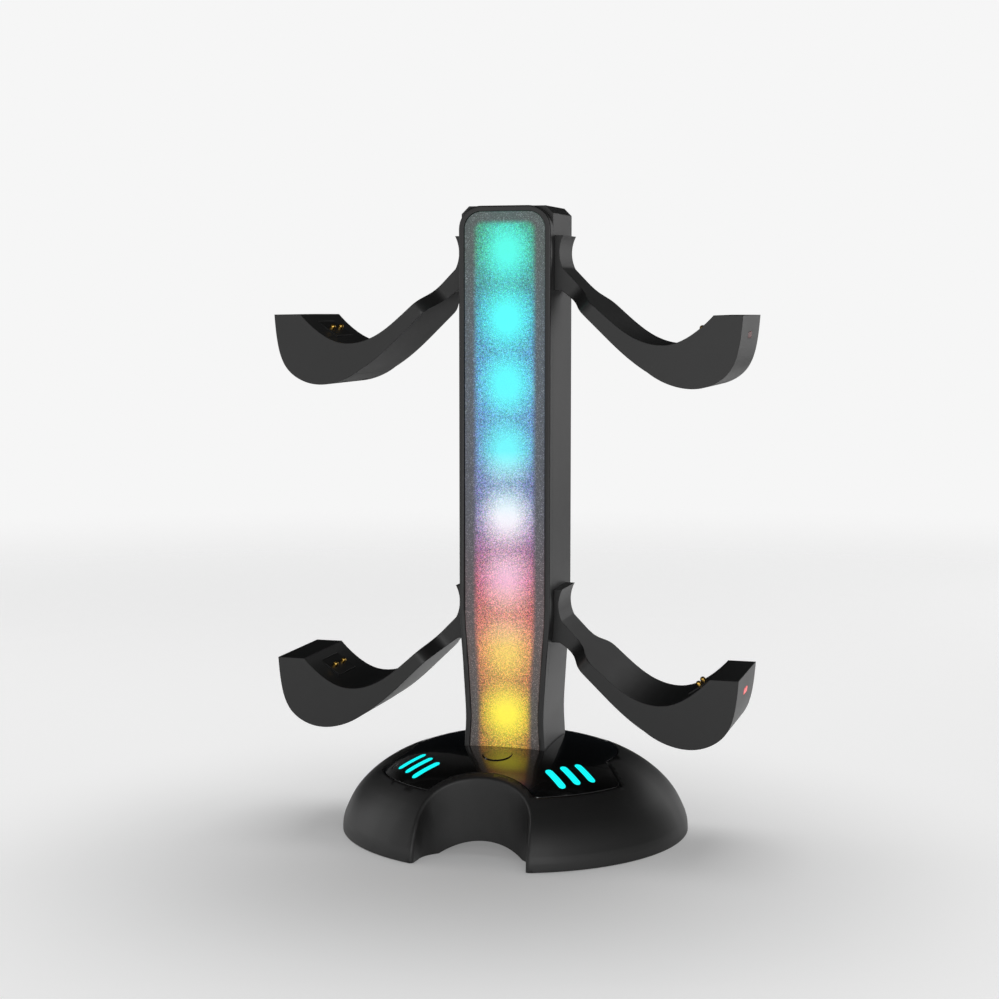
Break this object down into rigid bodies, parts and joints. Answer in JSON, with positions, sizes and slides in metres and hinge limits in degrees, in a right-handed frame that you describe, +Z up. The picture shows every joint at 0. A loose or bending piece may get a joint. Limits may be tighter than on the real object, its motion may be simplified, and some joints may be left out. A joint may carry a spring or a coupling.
{
  "type": "controller charging dock",
  "caption": "Charging dock with a domed round base, a slim tower with a light panel, and two tiers of side cradles with sprung contacts for game controllers",
  "frame": {"origin": "on the table, under the middle of the dock's bounding box, 1.5 mm behind the tower's own axis", "axes": "+Z up, -Y towards the side with the light panel and the arched notch, +X to the right of someone who faces the panel"},
  "size_m": [0.1566, 0.113, 0.207],
  "materials": {
    "base_black": "satin black moulding",
    "cover_black": "fine matt black moulding",
    "plate_gloss_black": "polished black",
    "button_black": "satin black",
    "switch_black": "moulded black",
    "board_green": "solder-masked circuit board",
    "board_white": "white circuit board",
    "lamp_package": "lamp packages",
    "socket_metal": "plated shell",
    "light_bar": "translucent light guide, lit cyan",
    "ballast_steel": "plain rolled steel",
    "foot_rubber": "soft black rubber",
    "screw_steel": "zinc-plated screws",
    "tower_black": "satin black moulding",
    "frame_black": "satin black moulding",
    "panel_diffuser": "translucent grey diffuser",
    "cradle_black": "satin black moulding",
    "contact_black": "moulded black",
    "pin_gilt": "gilt contact pins",
    "lamp_red": "translucent red lens"
  },
  "bodies": {
    "dock": {"base_shell": "base_black", "bottom_cover": "cover_black", "top_plate": "plate_gloss_black", "press_switch": "switch_black", "button_board": "board_green", "main_board": "board_green", "bar_light_board_right": "board_green", "bar_light_board_left": "board_green", "light_board": "board_white", "light_packages": "lamp_package", "usb_c_socket": "socket_metal", "light_guide_right": "light_bar", "light_guide_left": "light_bar", "ballast_right": "ballast_steel", "ballast_left": "ballast_steel", "foot_front_right": "foot_rubber", "foot_front_left": "foot_rubber", "foot_back_right": "foot_rubber", "foot_back_left": "foot_rubber", "cover_screws": "screw_steel", "tower_screws": "screw_steel", "arm_screws": "screw_steel", "nose_cover_screws": "screw_steel", "tower_housing": "tower_black", "tower_front_frame": "frame_black", "light_panel": "panel_diffuser", "tray_lower_right": "cradle_black", "nose_cover_lower_right": "cradle_black", "contact_block_lower_right": "contact_black", "contact_board_lower_right": "board_green", "charge_lamp_lower_right": "lamp_red", "tray_lower_left": "cradle_black", "nose_cover_lower_left": "cradle_black", "contact_block_lower_left": "contact_black", "contact_board_lower_left": "board_green", "charge_lamp_lower_left": "lamp_red", "tray_upper_right": "cradle_black", "nose_cover_upper_right": "cradle_black", "contact_block_upper_right": "contact_black", "contact_board_upper_right": "board_green", "charge_lamp_upper_right": "lamp_red", "tray_upper_left": "cradle_black", "nose_cover_upper_left": "cradle_black", "contact_block_upper_left": "contact_black", "contact_board_upper_left": "board_green", "charge_lamp_upper_left": "lamp_red"},
    "button_body": {"mode_button": "button_black"},
    "contact_pin_front_lower_right_body": {"contact_pin_front_lower_right": "pin_gilt"},
    "contact_pin_front_lower_left_body": {"contact_pin_front_lower_left": "pin_gilt"},
    "contact_pin_front_upper_right_body": {"contact_pin_front_upper_right": "pin_gilt"},
    "contact_pin_front_upper_left_body": {"contact_pin_front_upper_left": "pin_gilt"},
    "contact_pin_back_lower_right_body": {"contact_pin_back_lower_right": "pin_gilt"},
    "contact_pin_back_lower_left_body": {"contact_pin_back_lower_left": "pin_gilt"},
    "contact_pin_back_upper_right_body": {"contact_pin_back_upper_right": "pin_gilt"},
    "contact_pin_back_upper_left_body": {"contact_pin_back_upper_left": "pin_gilt"}
  },
  "joints": [
    {"name": "mode_button_slide", "type": "slide", "parent": "dock", "child": "button_body", "axis": [0, 0, -1], "range_m": [0, 0.0008], "stiffness_N_per_m": 300},
    {"name": "contact_front_lower_right_slide", "type": "slide", "parent": "dock", "child": "contact_pin_front_lower_right_body", "axis": [0.565, 0, -0.8251], "range_m": [0, 0.001], "stiffness_N_per_m": 200},
    {"name": "contact_back_lower_right_slide", "type": "slide", "parent": "dock", "child": "contact_pin_back_lower_right_body", "axis": [0.565, 0, -0.8251], "range_m": [0, 0.001], "stiffness_N_per_m": 200},
    {"name": "contact_front_lower_left_slide", "type": "slide", "parent": "dock", "child": "contact_pin_front_lower_left_body", "axis": [-0.565, 0, -0.8251], "range_m": [0, 0.001], "stiffness_N_per_m": 200},
    {"name": "contact_back_lower_left_slide", "type": "slide", "parent": "dock", "child": "contact_pin_back_lower_left_body", "axis": [-0.565, 0, -0.8251], "range_m": [0, 0.001], "stiffness_N_per_m": 200},
    {"name": "contact_front_upper_right_slide", "type": "slide", "parent": "dock", "child": "contact_pin_front_upper_right_body", "axis": [0.565, 0, -0.8251], "range_m": [0, 0.001], "stiffness_N_per_m": 200},
    {"name": "contact_back_upper_right_slide", "type": "slide", "parent": "dock", "child": "contact_pin_back_upper_right_body", "axis": [0.565, 0, -0.8251], "range_m": [0, 0.001], "stiffness_N_per_m": 200},
    {"name": "contact_front_upper_left_slide", "type": "slide", "parent": "dock", "child": "contact_pin_front_upper_left_body", "axis": [-0.565, 0, -0.8251], "range_m": [0, 0.001], "stiffness_N_per_m": 200},
    {"name": "contact_back_upper_left_slide", "type": "slide", "parent": "dock", "child": "contact_pin_back_upper_left_body", "axis": [-0.565, 0, -0.8251], "range_m": [0, 0.001], "stiffness_N_per_m": 200}
  ]
}
